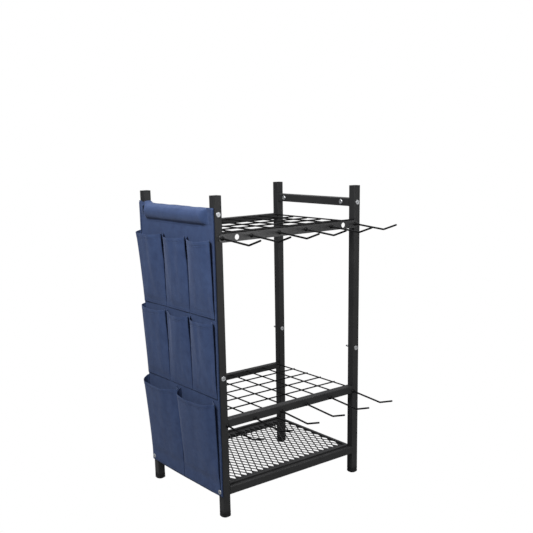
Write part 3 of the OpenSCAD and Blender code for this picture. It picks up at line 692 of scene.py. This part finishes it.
def rod_rings():
    """Rings of the rod along its path, closed by a rounded end."""
    path = hook_path()
    run = np.gradient(path, axis=0)
    run /= np.linalg.norm(run, axis=1, keepdims=True)
    steps = [(centre, t, ROD_D / 2) for centre, t in zip(path, run)]
    for q in np.linspace(0, 1, 7)[1:]:
        angle = q * math.pi / 2
        steps.append((path[-1] + run[-1] * (ROD_D / 2 * math.sin(angle)), run[-1],
                      max(ROD_D / 2 * math.cos(angle), 0.02)))
    rings = []
    for centre, t, r in steps:
        upright = np.cross(t, ACROSS)
        turns = [2 * math.pi * k / ROD_SIDES for k in range(ROD_SIDES)]
        rings.append([centre + ACROSS * math.cos(a) * r + upright * math.sin(a) * r for a in turns])
    return rings


def ball_rings():
    """Rings of the seat: half a ball with a small weld fillet up the shaft."""
    profile = [(0.0, BALL_D / 2), (0.6, BALL_D / 2)]
    profile += [(BALL_D / 2 * math.sin(a), BALL_D / 2 * math.cos(a)) for a in np.linspace(0.12, 1.12, 10)]
    profile += WELD_FILLET
    turns = [2 * math.pi * k / BALL_SIDES for k in range(BALL_SIDES)]
    return [[np.array([r * math.cos(a), -y, r * math.sin(a) - y * math.sin(FALL)]) for a in turns]
            for y, r in profile]


def loft(rings, verts, faces, flip):
    """Adds a closed skin over rings of points to verts and faces."""
    base, sides = len(verts), len(rings[0])
    for ring in rings:
        verts.extend(ring)
    for i in range(len(rings) - 1):
        for k in range(sides):
            p = base + i * sides + k
            q = base + i * sides + (k + 1) % sides
            faces.append((p, p + sides, q + sides, q) if flip else (p, q, q + sides, p + sides))
    first = tuple(base + k for k in range(sides))
    last = tuple(base + (len(rings) - 1) * sides + k for k in range(sides))
    faces.append(first if flip else first[::-1])
    faces.append(last[::-1] if flip else last)


def build_hook(node):
    """Bent rod with a rolled corner and a ball at its seat, in place of the plain solid."""
    lo, hi = [np.array(v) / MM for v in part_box(node)]
    tip_z = TIP_L * math.sin(RISE) - SHAFT_L * math.sin(FALL)
    seat = np.array([(lo[0] + hi[0]) / 2, hi[1], hi[2] - max(SOLID_BALL_D / 2, tip_z + SOLID_ROD_D / 2)])
    verts, faces = [], []
    loft(rod_rings(), verts, faces, flip=False)
    loft(ball_rings(), verts, faces, flip=True)
    obj = mesh_object(f"{node}_rod", (np.array(verts) + seat) * MM, faces, WIRE)
    obj.data.set_sharp_from_angle(angle=ROD_CRISP_ANGLE)
    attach(obj, "root")
    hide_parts(node)


for i in range(1, 7):
    build_hook(f"plate_hook_{i}")
    build_hook(f"lower_hook_{i}")

# Camera, as solved from the ends of the posts and rails, placed from the middle of the rack in metres
CAMERA_AZIMUTH = math.radians(36.75)
CAMERA_ELEVATION = math.radians(14.33)
CAMERA_ROLL = math.radians(-1.36)
CAMERA_FROM_MIDDLE = (-1.5551, -2.0531)
CAMERA_Z = 1.1119


def place_camera():
    az, el, roll = CAMERA_AZIMUTH, CAMERA_ELEVATION, CAMERA_ROLL
    forward = Vector((math.sin(az) * math.cos(el), math.cos(az) * math.cos(el), -math.sin(el)))
    level = Vector((math.cos(az), -math.sin(az), 0.0))
    upright = level.cross(forward)
    right = level * math.cos(roll) + upright * math.sin(roll)
    up = upright * math.cos(roll) - level * math.sin(roll)
    low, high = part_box("upper_post_front_left")[0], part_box("upper_post_back_right")[1]
    place = [(low[k] + high[k]) / 2 + CAMERA_FROM_MIDDLE[k] for k in range(2)] + [CAMERA_Z]
    data = bpy.data.cameras.new("camera")
    data.sensor_width = 36.0
    data.lens = 54.91
    data.shift_x = 0.0343
    data.shift_y = 0.1478
    data.clip_start = 0.05
    data.clip_end = 60
    camera = bpy.data.objects.new("camera", data)
    bpy.context.scene.collection.objects.link(camera)
    turned = Matrix.Identity(4)
    for row in range(3):
        turned[row][0] = right[row]
        turned[row][1] = up[row]
        turned[row][2] = -forward[row]
    turned.translation = Vector(place)
    camera.matrix_world = turned
    bpy.context.scene.camera = camera


# Light and stage: white to the camera, dimmer for what they light
def white_to_camera(tree, shader, seen, surface):
    """Shows the camera one shader and all other rays another."""
    path = add(tree, "ShaderNodeLightPath")
    blend = add(tree, "ShaderNodeMixShader")
    tree.links.new(path.outputs["Is Camera Ray"], blend.inputs["Fac"])
    tree.links.new(shader, blend.inputs[1])
    tree.links.new(seen, blend.inputs[2])
    tree.links.new(blend.outputs["Shader"], surface)


def light_world():
    world = bpy.data.worlds.new("studio")
    bpy.context.scene.world = world
    world.use_nodes = True
    tree = world.node_tree
    dim = tree.nodes["Background"]
    dim.inputs["Color"].default_value = (0.96, 0.97, 1.0, 1.0)
    dim.inputs["Strength"].default_value = 0.35
    seen = add(tree, "ShaderNodeBackground", {"Color": (1.0, 1.0, 1.0, 1.0), "Strength": 1.0})
    white_to_camera(tree, dim.outputs["Background"], seen.outputs["Background"],
                    tree.nodes["World Output"].inputs["Surface"])


def area_light(name, place, target, side, power):
    """Square light with its side in metres and its power in watts, turned to a target."""
    data = bpy.data.lights.new(name, "AREA")
    data.shape = "RECTANGLE"
    data.size = side
    data.size_y = side
    data.energy = power
    obj = bpy.data.objects.new(name, data)
    bpy.context.scene.collection.objects.link(obj)
    obj.location = place
    obj.rotation_mode = "QUATERNION"
    obj.rotation_quaternion = (Vector(target) - Vector(place)).to_track_quat("-Z", "Y")


def build_floor(half=40, drop=0.0005):
    """Wide white floor just below the feet."""
    material, tree, bsdf = new_material("studio_white")
    bsdf.inputs["Base Color"].default_value = (0.25, 0.25, 0.25, 1.0)
    bsdf.inputs["Roughness"].default_value = 0.9
    seen = add(tree, "ShaderNodeEmission", {"Color": (1.0, 1.0, 1.0, 1.0), "Strength": 1.0})
    white_to_camera(tree, bsdf.outputs["BSDF"], seen.outputs["Emission"],
                    tree.nodes["Material Output"].inputs["Surface"])
    corners = [(x * half, y * half, -drop) for x, y in ((-1, -1), (1, -1), (1, 1), (-1, 1))]
    floor = mesh_object("studio_floor", corners, [(0, 1, 2, 3)], material, smooth=False)


place_camera()
bpy.context.scene.view_settings.view_transform = "Standard"
light_world()
area_light("key_light", (-2.1, -0.7, 2.3), target=(0, 0, 0.8), side=1.0, power=41)
area_light("front_light", (1.4, -2.7, 0.9), target=(0, 0, 0.6), side=1.3, power=17)
area_light("left_light", (-1.15, -0.42, 1.8), target=(-0.3, -0.05, 0.75), side=0.4, power=19.5)
area_light("top_light", (0.3, 0.3, 3.0), target=(0, 0, 0.5), side=2.2, power=75)
build_floor()
